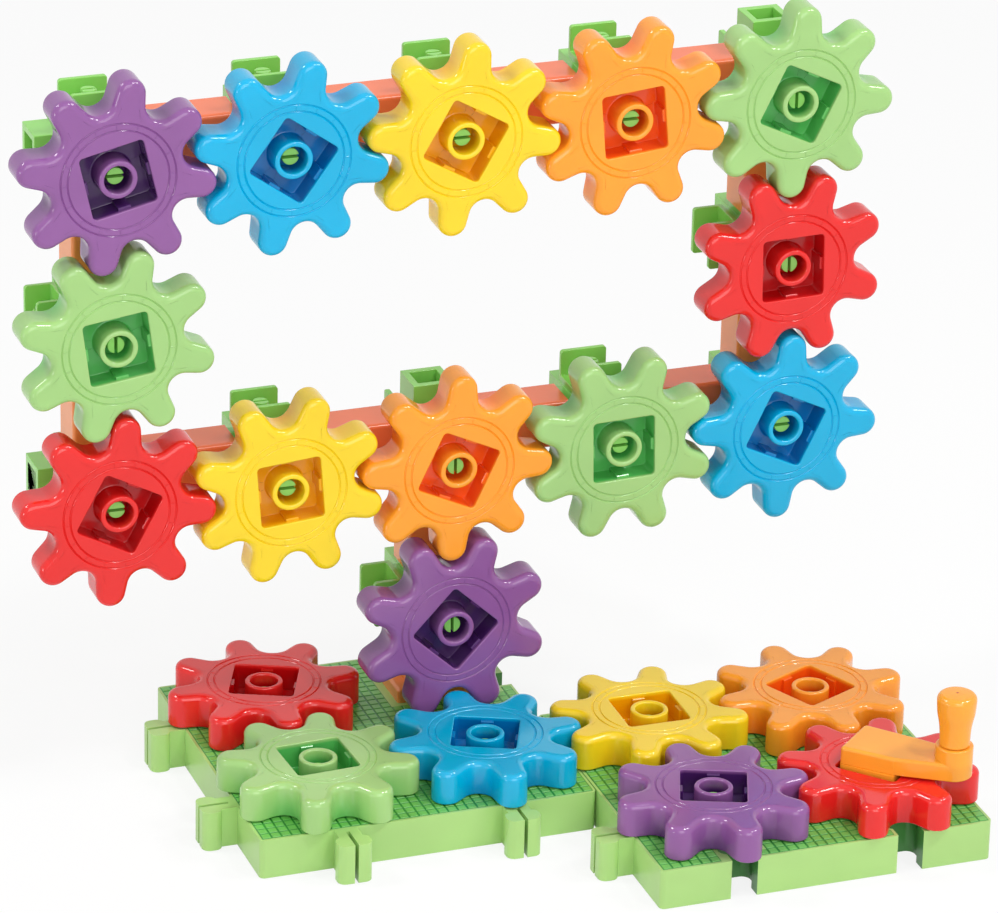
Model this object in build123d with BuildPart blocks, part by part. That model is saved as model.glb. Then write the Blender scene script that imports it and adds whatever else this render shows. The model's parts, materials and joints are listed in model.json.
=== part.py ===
"""Crank-driven gear toy: a wall of meshed gears on a tube frame, above a base of two plates with gears.

The frame has +X to the right, +Y to the rear and +Z up. The origin lies on the surface the toy
stands on, under the middle of its box. Gears sit on a square grid of one pitch, so every
neighbouring pair meshes.
"""
from build123d import *
import math
import os

os.makedirs("parts", exist_ok=True)

# ---------------------------------------------------------------- driving dimensions, millimetres
PITCH = 50.8                     # grid step of the whole toy, two inches

TEETH = 8
TIP_REACH = 0.572 * PITCH        # gear axis to the end of a tooth
TIP_ROUND = 0.085 * PITCH        # radius of the rounded tooth end
ROOT_REACH = 0.385 * PITCH       # gear axis to the bottom of a gap
ROOT_ROUND = 0.088 * PITCH       # radius of the rounded gap bottom
GEAR_T = 10.2
GEAR_EDGE_R = 2.0                # rounded front edge of a gear
GEAR_BACK_EDGE = 0.5             # chamfer on the back edge
RING_RADII = (16.6, 14.6)        # two fine rings cut into the face
RING_WIDTH = 0.6
RING_DEPTH = 0.35
RECESS_SIDE = 19.0               # square recess round the hub
RECESS_CORNER_R = 1.2
RECESS_DEPTH = 7.6
HUB_D = 11.2
HUB_BORE_D = 8.1
KEY_WIDTH = 3.6                  # low pad in the middle of each wall of the recess
KEY_REACH = 0.8
KEY_TOP = 1.2                    # pads end this far below the face

SHAFT_D = 4.7                    # axle in the gear's shaft hole, 0.05 mm running clearance a side
SHAFT_HOLE_D = 4.8
SNAP_D = 5.4                     # split head that holds the gear on
SNAP_TIP_D = 4.9
SNAP_TOP = 3.4                   # head's end, below the gear's face
SNAP_SLOT = 0.9
AXLE_PLAY = 0.3                  # end play between a gear and what is behind it

PLATE_H = 12.1
PLATE_GAP = 0.3                  # line between two joined plates
EDGE_LAP = 2.0                   # overlap of a tab or slot outline across the plate's edge
PLATE_SIDE = 2 * PITCH - PLATE_GAP
PLATE_CORNER_R = 1.6
PLATE_WALL = 2.2
PLATE_DECK = 2.4
RIB_T = 1.6
SOCKET_SIDE = 8.2                # square socket, one per grid place, and in every box arm
SOCKET_WALL = 2.0
TAB_NECK_W = 0.136 * PITCH
TAB_HEAD_W = 0.200 * PITCH
TAB_HEAD_START = 0.088 * PITCH
TAB_REACH = 0.205 * PITCH
TAB_HEAD_R = 0.046 * PITCH
TAB_SLIT = 1.1
TAB_SLIT_START = 1.6
SLOT_MOUTH_W = 0.156 * PITCH
SLOT_CAVITY_W = 0.222 * PITCH
SLOT_CAVITY_START = 0.080 * PITCH
SLOT_REACH = 0.226 * PITCH
SLOT_CAVITY_R = 2.6
SLOT_WALL = 2.0

ARM_SIDE = 12.4                  # box arm of a connector
ARM_REACH = 0.345 * PITCH        # connector centre to the end of an arm
SOCKET_DEPTH = 11.0
CLIP_SIDE = 14.2
CLIP_PANEL_T = 1.5
CLIP_START = 8.2                 # connector centre to the foot of the clip
CLIP_BASE_T = 1.6
CLIP_CORNER_R = 1.0
CLIP_POST_D = 4.6
CLIP_POST_END = 16.3
CLIP_POST_SLIT = 0.8

BEAM_SIDE = 14.4                 # beams slide over the box arms
BEAM_BORE = 12.6
BEAM_EDGE_R = 1.3
BEAM_START = 0.175 * PITCH       # connector centre to the end of a beam
FOOT_SIDE = 0.44 * PITCH
FOOT_T = 4.2
FOOT_EDGE_R = 1.0

BASE_GEAR_FACE = PLATE_H + 0.211 * PITCH      # height of the faces of the base gears
WALL_FACE_Y = 0.520 * PITCH                   # plane of the faces of the wall's gears
CONNECTOR_Y = WALL_FACE_Y + 0.578 * PITCH
LEG_Z = PLATE_H + 0.614 * PITCH               # axis of the leg's gear; the rows follow at one pitch

KNOB_OFFSET = (0.329 * PITCH, -0.294 * PITCH)  # knob axis from the crank gear's axis
CRANK_PLUG_PLAY = 0.2
CRANK_HUB_SIDE = RECESS_SIDE - 2 * (KEY_REACH + CRANK_PLUG_PLAY)
CRANK_BEND = (-0.004 * PITCH, -0.215 * PITCH)  # blunt front corner of the arm
CRANK_CORNER_R = 1.2
ARM_REAR_TURN = 40                            # where the arm's edges touch the boss, degrees
ARM_FRONT_TURN = -122
CRANK_TOP = 0.330 * PITCH                     # heights above the plate top
CRANK_UNDERSIDE = 0.224 * PITCH
BOSS_TOP = 0.412 * PITCH
BOSS_R = 0.108 * PITCH
CRANK_EDGE_R = 1.0
CRANK_PLUG_DEPTH = 6.0
KNOB_TOP = 0.734 * PITCH
KNOB_WAIST = ((0.088, 0.014), (0.087, 0.031), (0.089, 0.084), (0.095, 0.137), (0.106, 0.190),
              (0.111, 0.238))    # radius and height over the boss, in pitches
KNOB_HEAD_R = 0.113 * PITCH
KNOB_CROWN_R = 1.8
KNOB_DOME = 0.2
KNOB_FOOT_CHAMFER = 0.5
KNOB_PIN_D = 4.2
KNOB_PIN_LENGTH = 10.0
KNOB_BORE_D = 4.3
KNOB_BORE_DEPTH = 11.0
KNOB_PLAY = 0.2

# ---------------------------------------------------------------- where everything is
# Wall gears: column and row on the grid, turn of the nearest tooth gap from +X, turn of a recess
# corner from that gap, side of the connector that carries the clip, turn of the axle's slot.
WALL_PLACES = {
    "top_1": (0, 2, 13.05, 45, "up", 0),
    "top_2": (1, 2, 9.35, 0, "up", 0),
    "top_3": (2, 2, 15.15, 0, "up", 0),
    "top_4": (3, 2, 5.45, 45, "up", 0),
    "top_5": (4, 2, 19.05, 0, "rear", 90),
    "left": (0, 1, 7.55, 45, "left", 90),
    "right": (4, 1, 1.45, 45, "left", 90),
    "bottom_1": (0, 0, 16.95, 0, "down", 0),
    "bottom_2": (1, 0, 4.75, 45, "up", 0),
    "bottom_3": (2, 0, 19.75, 0, "rear", 90),
    "bottom_4": (3, 0, 1.75, 45, "up", 0),
    "bottom_5": (4, 0, 19.05, 0, "down", 0),
    "leg": (2, -1, 2.0, 0, "left", 90),
}
MIDDLE_COLUMN = 2

# Base gears: grid place from the middle of the base, turn of the nearest gap, turn of a recess corner.
BASE_PLACES = {
    "base_gear_rear": (-1, 1, 21.4, 0),
    "base_gear_left": (-1, 0, 3.0, 45),
    "base_gear_middle": (0, 0, 21.4, 0),
    "base_gear_right": (1, 0, -0.8, 45),
    "base_gear_far_right": (2, 0, 25.0, 45),
    "base_gear_front": (1, -1, 23.7, 0),
    "crank_gear": (2, -1, -3.0, 0),
}
LEG_SOCKET = (0, 1)

# Plates: centre on the grid, then tabs and slots as (turn of the side, place along it).
LEFT_TABS = [(180, -0.5), (180, 0.5), (270, -0.5), (270, 0.5)]
LEFT_SLOTS = [(0, -0.5), (0, 0.5), (90, -0.5), (90, 0.5)]
RIGHT_TABS = [(180, -0.5), (180, 0.5), (90, -0.5), (90, 0.5)]
RIGHT_SLOTS = [(0, -0.5), (0, 0.5), (270, -0.5), (270, 0.5)]
PLATES = {
    "left_plate": (-0.5, 0.5, LEFT_TABS, LEFT_SLOTS),
    "right_plate": (1.5, -0.5, RIGHT_TABS, RIGHT_SLOTS),
}

SIDES = {
    "right": ((1, 0, 0), (0, 1, 0)),
    "left": ((-1, 0, 0), (0, 1, 0)),
    "up": ((0, 0, 1), (0, 1, 0)),
    "down": ((0, 0, -1), (0, 1, 0)),
    "front": ((0, -1, 0), (1, 0, 0)),
    "rear": ((0, 1, 0), (1, 0, 0)),
}


def save(part, name):
    """Label a finished piece and write its file."""
    part.label = name
    export_step(part, f"parts/{name}.step")


def around(centre, radius, turn):
    """Point at a radius and turn, in degrees, from a centre."""
    angle = math.radians(turn)
    return (centre[0] + radius * math.cos(angle), centre[1] + radius * math.sin(angle))


def wall_centre(column, row, y):
    """Point on the axis of a wall place."""
    return ((column - MIDDLE_COLUMN) * PITCH, y, LEG_Z + (row + 1) * PITCH)


def side_plane(centre, side):
    """Plane through a connector's centre that faces one of its six sides."""
    outward, across = SIDES[side]
    return Plane(origin=centre, x_dir=across, z_dir=outward)


# ---------------------------------------------------------------- gears
TOOTH_STEP = 360 / TEETH
TIP_CENTRE_R = TIP_REACH - TIP_ROUND
ROOT_CENTRE_R = ROOT_REACH + ROOT_ROUND


def flank_turn():
    """Turn, about a tooth's round centre, where the straight flank leaves the tip arc."""
    root = around((0, 0), ROOT_CENTRE_R, TOOTH_STEP / 2)
    run = (root[0] - TIP_CENTRE_R, root[1])
    distance = math.hypot(run[0], run[1])
    lean = math.degrees(math.acos((TIP_ROUND + ROOT_ROUND) / distance))
    return math.degrees(math.atan2(run[1], run[0])) - lean


FLANK = flank_turn()


def gear_outline(gap_turn):
    """Eight round teeth: tip arc, straight flank, gap arc and flank, joined without corners."""
    with BuildLine() as outline:
        for step in range(TEETH):
            turn = gap_turn + TOOTH_STEP / 2 + step * TOOTH_STEP
            tip = around((0, 0), TIP_CENTRE_R, turn)
            root = around((0, 0), ROOT_CENTRE_R, turn + TOOTH_STEP / 2)
            next_tip = around((0, 0), TIP_CENTRE_R, turn + TOOTH_STEP)
            CenterArc(tip, TIP_ROUND, turn - FLANK, 2 * FLANK)
            CenterArc(root, ROOT_ROUND, turn + FLANK + 180, TOOTH_STEP - 2 * FLANK)
            Line(around(tip, TIP_ROUND, turn + FLANK), around(root, ROOT_ROUND, turn + FLANK + 180))
            leave = turn + TOOTH_STEP - FLANK
            Line(around(root, ROOT_ROUND, leave + 180), around(next_tip, TIP_ROUND, leave))
    make_face(outline.edges())


def recess_outline(turn):
    """Square recess with the hub left standing in it."""
    with Locations(Location((0, 0, 0), (0, 0, turn))):
        RectangleRounded(RECESS_SIDE, RECESS_SIDE, RECESS_CORNER_R)
    Circle(HUB_D / 2, mode=Mode.SUBTRACT)


def make_gear(name, face, gap_turn, corner_turn):
    """One gear: face is the plane of its front, gap_turn places the teeth."""
    outward = Axis(face.origin, face.z_dir)
    with BuildPart() as gear:
        with BuildSketch(face):
            gear_outline(gap_turn)
        extrude(amount=-GEAR_T)
        flats = gear.faces().filter_by(outward).sort_by(outward)
        fillet(flats[-1].edges(), GEAR_EDGE_R)
        flats = gear.faces().filter_by(outward).sort_by(outward)
        chamfer(flats[0].edges(), GEAR_BACK_EDGE)
        with BuildSketch(face):
            recess_outline(gap_turn + corner_turn - 45)
        extrude(amount=-RECESS_DEPTH, mode=Mode.SUBTRACT)
        with BuildSketch(face.offset(-KEY_TOP)):
            with PolarLocations(RECESS_SIDE / 2, 4, start_angle=gap_turn + corner_turn - 45):
                Rectangle(2 * KEY_REACH, KEY_WIDTH)
        extrude(amount=KEY_TOP - RECESS_DEPTH)
        with BuildSketch(face):
            Circle(HUB_BORE_D / 2)
        extrude(amount=-RECESS_DEPTH, mode=Mode.SUBTRACT)
        with BuildSketch(face):
            Circle(SHAFT_HOLE_D / 2)
        extrude(amount=-GEAR_T, mode=Mode.SUBTRACT)
        with BuildSketch(face):
            for radius in RING_RADII:
                Circle(radius + RING_WIDTH / 2)
                Circle(radius - RING_WIDTH / 2, mode=Mode.SUBTRACT)
        extrude(amount=-RING_DEPTH, mode=Mode.SUBTRACT)
    save(gear.part, name)


wall_faces = {}
for place, (column, row, gap_turn, corner_turn, clip, slot_turn) in WALL_PLACES.items():
    face_centre = wall_centre(column, row, WALL_FACE_Y)
    wall_faces[place] = Plane(origin=face_centre, x_dir=(1, 0, 0), z_dir=(0, -1, 0))
    make_gear(f"{place}_gear", wall_faces[place], gap_turn, corner_turn)

base_faces = {}
for name, (step_x, step_y, gap_turn, corner_turn) in BASE_PLACES.items():
    base_faces[name] = Plane(origin=(step_x * PITCH, step_y * PITCH, BASE_GEAR_FACE))
    make_gear(name, base_faces[name], gap_turn, corner_turn)

# ---------------------------------------------------------------- axles, drawn from a gear's face
GEAR_BACK = -GEAR_T
WALL_SEAT = WALL_FACE_Y - (CONNECTOR_Y - ARM_REACH)      # end of the front arm, behind the face
BASE_SEAT = PLATE_H - BASE_GEAR_FACE                     # plate top, below the face
PLUG_PLAY = 0.1                                          # between a plug and its socket, both sides
PLUG_SIDE = SOCKET_SIDE - PLUG_PLAY
WALL_PLUG_LENGTH = 8.5
BASE_PLUG_LENGTH = 9.0
COLLAR_CORNER_R = 1.0


def axle_solid(seat, plug_length, collar_side):
    """Square plug, collar, round shaft and split snap head of one axle."""
    collar_top = GEAR_BACK - AXLE_PLAY
    shoulder = -RECESS_DEPTH + AXLE_PLAY
    with BuildPart() as axle:
        with BuildSketch(Plane.XY.offset(seat)):
            Rectangle(PLUG_SIDE, PLUG_SIDE)
        extrude(amount=-plug_length)
        with BuildSketch(Plane.XY.offset(seat)):
            RectangleRounded(collar_side, collar_side, COLLAR_CORNER_R)
        extrude(amount=collar_top - seat)
        with BuildSketch(Plane.XY.offset(collar_top)):
            Circle(SHAFT_D / 2)
        extrude(amount=shoulder - collar_top)
        with BuildSketch(Plane.XY.offset(shoulder)):
            Circle(SNAP_D / 2)
        with BuildSketch(Plane.XY.offset(-SNAP_TOP)):
            Circle(SNAP_TIP_D / 2)
        loft()
        with BuildSketch(Plane.XY.offset(collar_top)):
            Rectangle(2 * SNAP_D, SNAP_SLOT)
        extrude(amount=-SNAP_TOP - collar_top, mode=Mode.SUBTRACT)
    return axle.part


wall_axle = axle_solid(WALL_SEAT, WALL_PLUG_LENGTH, ARM_SIDE)
base_axle = axle_solid(BASE_SEAT, BASE_PLUG_LENGTH, PLUG_SIDE)

with BuildPart() as wall_axles:
    for place, (column, row, gap_turn, corner_turn, clip, slot_turn) in WALL_PLACES.items():
        slot_run = around((0, 0), 1, slot_turn)
        turned_face = Plane(
            origin=wall_faces[place].origin, x_dir=(slot_run[0], 0, slot_run[1]), z_dir=(0, -1, 0)
        )
        with Locations(turned_face):
            add(wall_axle)
save(wall_axles.part, "wall_axles")

with BuildPart() as base_axles:
    for name, face in base_faces.items():
        with Locations(face):
            add(base_axle)
save(base_axles.part, "base_axles")


# ---------------------------------------------------------------- connectors
def make_connector(name, centre, clip):
    """Six-way connector: five open box arms and one clip."""
    with BuildPart() as connector:
        for side in SIDES:
            if side != clip:
                with BuildSketch(side_plane(centre, side)):
                    Rectangle(ARM_SIDE, ARM_SIDE)
                extrude(amount=ARM_REACH)
        plane = side_plane(centre, clip)
        with BuildSketch(plane):
            Rectangle(ARM_SIDE, ARM_SIDE)
        extrude(amount=CLIP_START)
        with BuildSketch(plane.offset(CLIP_START)):
            Rectangle(CLIP_SIDE, CLIP_SIDE)
        extrude(amount=CLIP_BASE_T)
        panel_x = (CLIP_SIDE - CLIP_PANEL_T) / 2
        for x in (panel_x, -panel_x):
            panel = Plane(origin=plane.from_local_coords((x - CLIP_PANEL_T / 2, 0, 0)),
                          x_dir=plane.y_dir, z_dir=plane.x_dir)
            turn = 1 if panel.y_dir.dot(plane.z_dir) > 0 else -1
            with BuildSketch(panel):
                with Locations((0, turn * (CLIP_START + ARM_REACH) / 2)):
                    Rectangle(CLIP_SIDE, ARM_REACH - CLIP_START)
                corners = vertices().sort_by(Axis((0, 0, 0), (0, turn, 0)))[-2:]
                fillet(corners, CLIP_CORNER_R)
            extrude(amount=CLIP_PANEL_T)
        with BuildSketch(plane.offset(CLIP_START)):
            Circle(CLIP_POST_D / 2)
            Rectangle(CLIP_POST_SLIT, CLIP_POST_D, mode=Mode.SUBTRACT)
        extrude(amount=CLIP_POST_END - CLIP_START)
        for side in SIDES:
            if side != clip:
                with BuildSketch(side_plane(centre, side).offset(ARM_REACH)):
                    Rectangle(SOCKET_SIDE, SOCKET_SIDE)
                extrude(amount=-SOCKET_DEPTH, mode=Mode.SUBTRACT)
    save(connector.part, name)


for place, (column, row, gap_turn, corner_turn, clip, slot_turn) in WALL_PLACES.items():
    make_connector(f"{place}_connector", wall_centre(column, row, CONNECTOR_Y), clip)


# ---------------------------------------------------------------- beams and the leg's foot
def beam_outline():
    """Square tube with rounded edges."""
    RectangleRounded(BEAM_SIDE, BEAM_SIDE, BEAM_EDGE_R)
    Rectangle(BEAM_BORE, BEAM_BORE, mode=Mode.SUBTRACT)


def make_beam(name, column, row, side):
    """Beam from one connector towards the next one on the given side."""
    plane = side_plane(wall_centre(column, row, CONNECTOR_Y), side)
    with BuildPart() as beam:
        with BuildSketch(plane.offset(BEAM_START)):
            beam_outline()
        extrude(amount=PITCH - 2 * BEAM_START)
    save(beam.part, name)


for column in range(4):
    make_beam(f"top_beam_{column + 1}", column, 2, "right")
    make_beam(f"bottom_beam_{column + 1}", column, 0, "right")
for side_name, column in (("left", 0), ("right", 4)):
    make_beam(f"{side_name}_beam_lower", column, 0, "up")
    make_beam(f"{side_name}_beam_upper", column, 1, "up")
make_beam("leg_beam", MIDDLE_COLUMN, -1, "up")

foot_top = LEG_Z - BEAM_START
with BuildPart() as leg_foot:
    with BuildSketch(Plane(origin=(0, CONNECTOR_Y, PLATE_H))):
        RectangleRounded(FOOT_SIDE, FOOT_SIDE, FOOT_EDGE_R)
    extrude(amount=FOOT_T)
    fillet(leg_foot.edges().group_by(Axis.Z)[-1], FOOT_EDGE_R)
    with BuildSketch(Plane(origin=(0, CONNECTOR_Y, PLATE_H))):
        RectangleRounded(BEAM_SIDE, BEAM_SIDE, BEAM_EDGE_R)
    extrude(amount=foot_top - PLATE_H)
    with BuildSketch(Plane(origin=(0, CONNECTOR_Y, foot_top))):
        Rectangle(BEAM_BORE, BEAM_BORE)
    extrude(amount=PLATE_H + FOOT_T - foot_top, mode=Mode.SUBTRACT)
    with BuildSketch(Plane(origin=(LEG_SOCKET[0] * PITCH, LEG_SOCKET[1] * PITCH, PLATE_H))):
        Rectangle(PLUG_SIDE, PLUG_SIDE)
    extrude(amount=-BASE_PLUG_LENGTH)
save(leg_foot.part, "leg_foot")


# ---------------------------------------------------------------- base plates
def edge_spot(turn, along):
    """Place on a plate's edge: x points out of the plate, along is measured in pitches."""
    half = PLATE_SIDE / 2
    shift = along * PITCH
    spots = {0: (half, shift), 90: (shift, half), 180: (-half, shift), 270: (shift, -half)}
    return Location((*spots[turn], 0), (0, 0, turn))


def tab_outline(turn, along):
    """Split tab: a short neck with a wider, rounded head."""
    head = TAB_REACH - TAB_HEAD_START
    with Locations(edge_spot(turn, along)):
        with Locations((TAB_HEAD_START / 2, 0)):
            Rectangle(TAB_HEAD_START + EDGE_LAP, TAB_NECK_W)
        with Locations((TAB_HEAD_START + head / 2, 0)):
            RectangleRounded(head, TAB_HEAD_W, TAB_HEAD_R)


def tab_slit(turn, along):
    """Slit that splits a tab into two springs."""
    length = TAB_REACH - TAB_SLIT_START + EDGE_LAP
    with Locations(edge_spot(turn, along)):
        with Locations((TAB_SLIT_START + length / 2, 0)):
            Rectangle(length, TAB_SLIT)


def slot_outline(turn, along):
    """Slot for a tab: a narrow mouth and a wider cavity behind it."""
    cavity = SLOT_REACH - SLOT_CAVITY_START
    with Locations(edge_spot(turn, along)):
        with Locations((-SLOT_CAVITY_START / 2, 0)):
            Rectangle(SLOT_CAVITY_START + EDGE_LAP, SLOT_MOUTH_W)
        with Locations((-SLOT_CAVITY_START - cavity / 2, 0)):
            RectangleRounded(cavity, SLOT_CAVITY_W, SLOT_CAVITY_R)


def slot_block(turn, along):
    """Wall round a slot inside the hollow plate."""
    with Locations(edge_spot(turn, along)):
        with Locations((-(SLOT_REACH + SLOT_WALL) / 2, 0)):
            Rectangle(SLOT_REACH + SLOT_WALL, SLOT_CAVITY_W + 2 * SLOT_WALL, mode=Mode.SUBTRACT)


def hollow_outline(slots):
    """Space under the deck, less the ribs, the slot walls and the socket walls."""
    inside = PLATE_SIDE - 2 * PLATE_WALL
    Rectangle(inside, inside)
    for rib in (-0.5, 0, 0.5):
        with Locations((rib * PITCH, 0)):
            Rectangle(RIB_T, inside, mode=Mode.SUBTRACT)
        with Locations((0, rib * PITCH)):
            Rectangle(inside, RIB_T, mode=Mode.SUBTRACT)
    with GridLocations(PITCH, PITCH, 2, 2):
        Rectangle(SOCKET_SIDE + 2 * SOCKET_WALL, SOCKET_SIDE + 2 * SOCKET_WALL, mode=Mode.SUBTRACT)
    for slot in slots:
        slot_block(*slot)


for name, (centre_x, centre_y, tabs, slots) in PLATES.items():
    underside = Plane(origin=(centre_x * PITCH, centre_y * PITCH, 0))
    with BuildPart() as plate:
        with BuildSketch(underside):
            RectangleRounded(PLATE_SIDE, PLATE_SIDE, PLATE_CORNER_R)
            for tab in tabs:
                tab_outline(*tab)
            for slot in slots:
                with BuildSketch(mode=Mode.PRIVATE) as slot_shape:
                    slot_outline(*slot)
                add(slot_shape.sketch, mode=Mode.SUBTRACT)
            for tab in tabs:
                with BuildSketch(mode=Mode.PRIVATE) as slit_shape:
                    tab_slit(*tab)
                add(slit_shape.sketch, mode=Mode.SUBTRACT)
        extrude(amount=PLATE_H)
        with BuildSketch(underside):
            hollow_outline(slots)
        extrude(amount=PLATE_H - PLATE_DECK, mode=Mode.SUBTRACT)
        with BuildSketch(underside):
            with GridLocations(PITCH, PITCH, 2, 2):
                Rectangle(SOCKET_SIDE, SOCKET_SIDE)
        extrude(amount=PLATE_H, mode=Mode.SUBTRACT)
    save(plate.part, name)

# ---------------------------------------------------------------- crank
crank_x, crank_y = (step * PITCH for step in BASE_PLACES["crank_gear"][:2])
crank_turn = BASE_PLACES["crank_gear"][2]
hub_corner = CRANK_HUB_SIDE / math.sqrt(2)


def crank_plane(height):
    """Plane over the crank gear's axis at a height above the plate top."""
    return Plane(origin=(crank_x, crank_y, PLATE_H + height))


with BuildPart() as crank_arm:
    with BuildSketch(crank_plane(CRANK_UNDERSIDE)):
        with BuildLine():
            Polyline(
                around((0, 0), hub_corner, crank_turn),
                around(KNOB_OFFSET, BOSS_R, ARM_REAR_TURN),
                around(KNOB_OFFSET, BOSS_R, ARM_FRONT_TURN),
                CRANK_BEND,
                around((0, 0), hub_corner, crank_turn + 180),
                around((0, 0), hub_corner, crank_turn + 90),
                close=True,
            )
        make_face()
        hub_side_corners = vertices().filter_by_position(Axis.X, -PITCH, PITCH / 4)
        fillet(hub_side_corners, CRANK_CORNER_R)
        with Locations(KNOB_OFFSET):
            Circle(BOSS_R)
    extrude(amount=CRANK_TOP - CRANK_UNDERSIDE)
    fillet(crank_arm.edges().group_by(Axis.Z)[-1], CRANK_EDGE_R)
    with BuildSketch(crank_plane(CRANK_UNDERSIDE)):
        RectangleRounded(CRANK_HUB_SIDE, CRANK_HUB_SIDE, CRANK_CORNER_R, rotation=crank_turn + 45)
    extrude(amount=BASE_GEAR_FACE - PLATE_H - CRANK_UNDERSIDE)
    with BuildSketch(crank_plane(CRANK_UNDERSIDE)):
        with Locations(KNOB_OFFSET):
            Circle(BOSS_R)
    extrude(amount=BOSS_TOP - CRANK_UNDERSIDE)
    with BuildSketch(crank_plane(BOSS_TOP)):
        with Locations(KNOB_OFFSET):
            Circle(KNOB_PIN_D / 2)
    extrude(amount=KNOB_PIN_LENGTH)
    with BuildSketch(Plane(origin=(crank_x, crank_y, BASE_GEAR_FACE))):
        RectangleRounded(CRANK_HUB_SIDE, CRANK_HUB_SIDE, CRANK_CORNER_R, rotation=crank_turn + 45)
        Circle(HUB_D / 2 + CRANK_PLUG_PLAY, mode=Mode.SUBTRACT)
    extrude(amount=-CRANK_PLUG_DEPTH)
save(crank_arm.part, "crank_arm")

knob_foot = PLATE_H + BOSS_TOP + KNOB_PLAY
knob_height = PLATE_H + KNOB_TOP - knob_foot
crown_foot = knob_height - KNOB_DOME - KNOB_CROWN_R
profile = [(radius * PITCH, height * PITCH - KNOB_PLAY) for radius, height in KNOB_WAIST]
profile.append((KNOB_HEAD_R, crown_foot))
knob_axis_x = crank_x + KNOB_OFFSET[0]
knob_axis_y = crank_y + KNOB_OFFSET[1]
with BuildPart() as crank_knob:
    with BuildSketch(Plane(origin=(knob_axis_x, knob_axis_y, knob_foot), x_dir=(1, 0, 0), z_dir=(0, -1, 0))):
        with BuildLine():
            base = Line((0, 0), (profile[0][0] - KNOB_FOOT_CHAMFER, 0))
            side = Spline(profile, tangents=((0, 1), (0, 1)))
            Line(base @ 1, side @ 0)
            crown = CenterArc((KNOB_HEAD_R - KNOB_CROWN_R, crown_foot), KNOB_CROWN_R, 0, 90)
            dome = Line(crown @ 1, (0, knob_height))
            Line(dome @ 1, (0, 0))
        make_face()
    revolve(axis=Axis((knob_axis_x, knob_axis_y, 0), (0, 0, 1)))
    with BuildSketch(Plane(origin=(knob_axis_x, knob_axis_y, knob_foot))):
        Circle(KNOB_BORE_D / 2)
    extrude(amount=KNOB_BORE_DEPTH, mode=Mode.SUBTRACT)
save(crank_knob.part, "crank_knob")
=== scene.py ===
"""Looks of the crank gear toy: glossy moulded plastic gears, connectors, beams and base plates."""

import json
import math

import bmesh
import bpy
from mathutils import Matrix, Vector


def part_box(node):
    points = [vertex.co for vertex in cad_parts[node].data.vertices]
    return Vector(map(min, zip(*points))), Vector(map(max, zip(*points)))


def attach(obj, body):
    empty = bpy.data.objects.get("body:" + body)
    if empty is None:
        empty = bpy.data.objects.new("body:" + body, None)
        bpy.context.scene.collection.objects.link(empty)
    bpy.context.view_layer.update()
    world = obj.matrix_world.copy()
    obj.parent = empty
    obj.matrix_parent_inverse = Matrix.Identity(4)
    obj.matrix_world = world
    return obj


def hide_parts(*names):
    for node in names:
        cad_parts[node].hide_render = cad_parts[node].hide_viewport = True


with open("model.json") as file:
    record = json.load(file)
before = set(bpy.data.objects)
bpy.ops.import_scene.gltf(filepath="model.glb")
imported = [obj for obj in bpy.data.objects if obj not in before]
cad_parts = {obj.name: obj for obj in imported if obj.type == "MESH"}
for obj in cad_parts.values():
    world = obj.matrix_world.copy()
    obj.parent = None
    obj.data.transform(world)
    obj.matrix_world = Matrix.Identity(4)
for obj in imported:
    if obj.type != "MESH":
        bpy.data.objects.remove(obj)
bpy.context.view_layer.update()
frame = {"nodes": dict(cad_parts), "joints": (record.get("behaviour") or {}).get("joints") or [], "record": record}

MM = 0.001
PITCH = 50.8 * MM
PLATE_TOP = 12.1 * MM
NODE_SLOT = {row["node"]: row["material_slot"] for row in frame["record"]["subparts"]}
NODE_BODY = {
    node: body for body, nodes in frame["record"]["behaviour"]["bodies"].items() for node in nodes
}
JOINT_OF_BODY = {joint["child"]: joint for joint in frame["joints"]}


# ---------------------------------------------------------------- helpers
def add_object(name, data):
    """Object with its data, linked to the scene."""
    made = bpy.data.objects.new(name, data)
    bpy.context.scene.collection.objects.link(made)
    return made


def mesh_data(name, mesh):
    """Mesh data from a finished bmesh."""
    data = bpy.data.meshes.new(name)
    mesh.to_mesh(data)
    mesh.free()
    return data


# ---------------------------------------------------------------- camera
FRAME_WIDTH = 998
FOCAL_PIXELS = 5945
SENSOR = 36
TURN_FROM_REAR = math.radians(20.395)
LOOK_DOWN = math.radians(24.436)
ROLL = math.radians(1.399)
CAMERA_PLACE = Vector((-10.46, -28.248, 15.619)) * PITCH + Vector((0, 0, PLATE_TOP))


def add_camera():
    """Camera at the photograph's place: a long lens, from the front left and above."""
    ahead = Vector((
        math.sin(TURN_FROM_REAR) * math.cos(LOOK_DOWN),
        math.cos(TURN_FROM_REAR) * math.cos(LOOK_DOWN),
        -math.sin(LOOK_DOWN),
    ))
    level = Vector((math.cos(TURN_FROM_REAR), -math.sin(TURN_FROM_REAR), 0))
    above = level.cross(ahead)
    right = math.cos(ROLL) * level + math.sin(ROLL) * above
    up = -math.sin(ROLL) * level + math.cos(ROLL) * above
    data = bpy.data.cameras.new("camera")
    data.lens = FOCAL_PIXELS / FRAME_WIDTH * SENSOR
    data.sensor_width = SENSOR
    data.clip_start = 0.05
    data.clip_end = 20
    camera = add_object("camera", data)
    turn = Matrix((right, up, -ahead)).transposed().to_4x4()
    camera.matrix_world = Matrix.Translation(CAMERA_PLACE) @ turn
    bpy.context.scene.camera = camera


# ---------------------------------------------------------------- materials
def linear(colour):
    """Linear light of an sRGB colour."""
    return tuple(c / 12.92 if c <= 0.04045 else ((c + 0.055) / 1.055) ** 2.4 for c in colour) + (1,)


def shade(colour, factor):
    """A colour made darker or lighter, as sRGB."""
    return tuple(min(1, max(0, c * factor)) for c in colour)


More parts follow.
